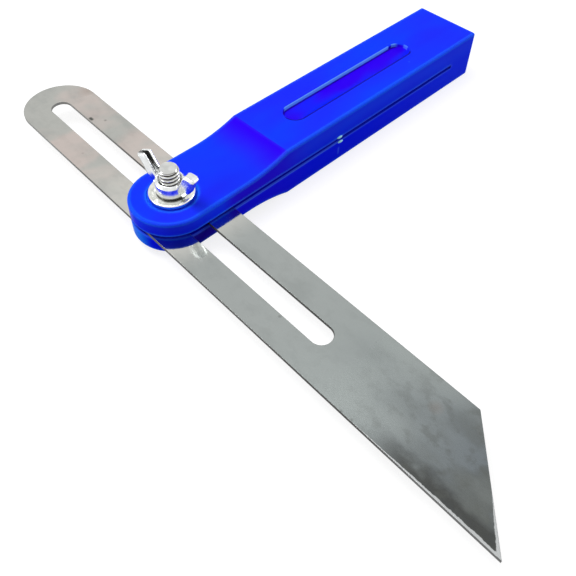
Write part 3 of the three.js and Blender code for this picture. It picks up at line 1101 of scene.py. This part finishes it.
def make_bolt():
    material = zinc("bolt_zinc", (0.68, 0.69, 0.67, 1), 0.2, thread_grooves)
    half = NECK_WIDTH / 2
    square = [(-half, -half), (half, -half), (half, half), (-half, half)]
    neck = prism(square, BOLT_HEAD_HEIGHT / 2, NECK_TOP)
    round_edges(neck, above_head, NECK_ROUNDING, 3)
    bolt = bolt_head()
    combined(bolt, neck, "UNION")
    combined(bolt, threaded_rod(THREAD_START, bolt_high.z, material), "UNION")
    finish_piece(bolt, "threaded_bolt", "bolt", "carriage_bolt", material, BLADE_TURN)


# Washer

def make_washer():
    low, high = washer_low.z, washer_high.z
    rounding = WASHER_ROUNDING
    rim_centre = WASHER_RADIUS - rounding
    profile = [(WASHER_BORE, low + WASHER_LOWER_CHAMFER), (WASHER_BORE + WASHER_LOWER_CHAMFER, low)]
    profile += arc(rim_centre, low + rounding, rounding, -90, 0, 6)
    profile += arc(rim_centre, high - rounding, rounding, 0, 90, 6)
    profile += [(WASHER_BORE + WASHER_UPPER_CHAMFER, high), (WASHER_BORE, high - WASHER_UPPER_CHAMFER)]
    washer = turned(profile, WASHER_STEPS, closed=True)
    finish_piece(washer, "pressed_washer", "washer", "washer",
                 zinc("washer_zinc", (0.86, 0.86, 0.80, 1), 0.14))


# Wing nut

def wing_rounding(point):
    """The rounding of a wing's edge at a point: none across the wing, more on its outer side."""
    if abs(point.y) < WING_THICKNESS / 2 - CLOSE:
        return 0.0
    middle = (WING_OUTER[2][0] + WING_INNER[0][0]) / 2 - WING_OUTER[2][1]
    return WING_OUTER_ROUNDING if point.x - point.z > middle else WING_ROUNDING


def wing(side):
    """One folded wing: a leaning tongue with a flat top, and a channel open to the top and the bolt."""
    half = WING_THICKNESS / 2
    tongue = prism(WING_OUTER + (WING_TOPS[side],) + WING_INNER, -half, half, upright=True)
    top = (WING_OUTER[-1][1] + WING_TOPS[side][1]) / 2

    def top_edge(point):
        return abs(point.y) < CLOSE and point.z > top - WING_TOP_REACH

    round_edges(tongue, top_edge, WING_TOP_ROUNDINGS[side], 5)
    round_edges_by(tongue, wing_rounding, WING_OUTER_ROUNDING, 6)
    outline = CHANNEL_FOOT + CHANNEL_BACKS[side] + CHANNEL_OPEN
    channel_half = CHANNEL_WIDTH / 2
    channel = prism(outline, CHANNEL_SHIFT - channel_half, CHANNEL_SHIFT + channel_half, upright=True)
    combined(tongue, channel, "DIFFERENCE")
    around = Matrix.Rotation(WING_TURN + side * math.pi, 4, "Z")
    tongue.data.transform(around @ Matrix.Translation((0, 0, nut_low.z)))
    return tongue


def nut_hub(base, top):
    return turned([
        (0, base),
        (HUB_BASE_RADIUS, base),
        (HUB_BASE_RADIUS, base + HUB_ROUNDING),
        (HUB_TOP_RADIUS, top - HUB_ROUNDING),
        (HUB_TOP_RADIUS - HUB_ROUNDING, top),
        (0, top),
    ])


def nut_bore(base, top):
    """A cutter for the bore and its countersink at the top."""
    countersink = NUT_COUNTERSINK_RADIUS - NUT_BORE
    return turned([
        (0, base - OVERRUN),
        (NUT_BORE, base - OVERRUN),
        (NUT_BORE, top - countersink),
        (NUT_COUNTERSINK_RADIUS, top),
        (NUT_COUNTERSINK_RADIUS, nut_high.z + OVERRUN),
        (0, nut_high.z + OVERRUN),
    ])


def soften_corners(piece):
    """Rebuilds a piece from small cells and smooths it, so that its parts flow into one another."""
    remesh = piece.modifiers.new("even cells", "REMESH")
    remesh.mode = "VOXEL"
    remesh.voxel_size = NUT_VOXEL
    smooth = piece.modifiers.new("soft corners", "SMOOTH")
    smooth.factor = 0.5
    smooth.iterations = NUT_SMOOTHING_ROUNDS
    bake_modifiers(piece)


def make_wing_nut():
    base = nut_low.z
    top = base + HUB_HEIGHT
    nut = nut_hub(base, top)
    for side in (0, 1):
        combined(nut, wing(side), "UNION")
    combined(nut, nut_bore(base, top), "DIFFERENCE")
    soften_corners(nut)
    finish_piece(nut, "folded_wing_nut", "wing_nut", "wing_nut",
                 zinc("nut_zinc", (0.82, 0.84, 0.84, 1), 0.2, channel_shadow, hub_foot_shade))


make_handle()
make_blade()
make_bolt()
make_washer()
make_wing_nut()


# Studio

def seen_directly(tree):
    """One for rays from the camera, also by way of a mirror or through a piece, and zero for others."""
    path = add(tree, "ShaderNodeLightPath").outputs
    seen = Value(tree, path["Is Camera Ray"]) + path["Is Glossy Ray"]
    return maths("ADD", seen, path["Is Transmission Ray"], clamp=True)


def white_floor():
    shape = bmesh.new()
    bmesh.ops.create_grid(shape, x_segments=1, y_segments=1, size=FLOOR_REACH)
    floor = new_piece("floor", shape)
    floor.data.transform(Matrix.Scale(MM, 4) @ Matrix.Translation((0, 0, -FLOOR_DROP)))
    material, tree, shader = new_material("floor_white")
    shader["Base Color"].default_value = FLOOR_GREY
    shader["Roughness"].default_value = 0.9
    shader["Emission Color"].default_value = WHITE
    join(tree, seen_directly(tree) * FLOOR_GLOW, shader["Emission Strength"])
    floor.data.materials.append(material)


def white_world():
    world = bpy.data.worlds.new("studio")
    bpy.context.scene.world = world
    world.use_nodes = True
    tree = world.node_tree
    shader = tree.nodes["Background"].inputs
    shader["Color"].default_value = WHITE
    join(tree, seen_directly(tree) * (1.0 - SKY_LIGHT) + SKY_LIGHT, shader["Strength"])


def soft_light(name, place, size, power):
    """A square soft box at a place in millimetres that faces the tool."""
    light = bpy.data.lights.new(name, "AREA")
    light.shape = "SQUARE"
    light.size = size * MM
    light.energy = power
    lamp = bpy.data.objects.new(name, light)
    lamp.location = Vector(place) * MM
    lamp.rotation_euler = (-Vector(place)).to_track_quat("-Z", "Y").to_euler()
    bpy.context.scene.collection.objects.link(lamp)


def camera():
    data = bpy.data.cameras.new("camera")
    data.lens = CAMERA_LENS
    data.clip_start = 0.01
    eye = bpy.data.objects.new("camera", data)
    eye.location = Vector(CAMERA_PLACE) * MM
    eye.rotation_euler = [math.radians(angle) for angle in CAMERA_TURN_DEGREES]
    bpy.context.scene.collection.objects.link(eye)
    bpy.context.scene.camera = eye


white_floor()
white_world()
for soft_box in SOFT_LIGHTS:
    soft_light(**soft_box)
camera()
bpy.context.scene.view_settings.view_transform = "Standard"
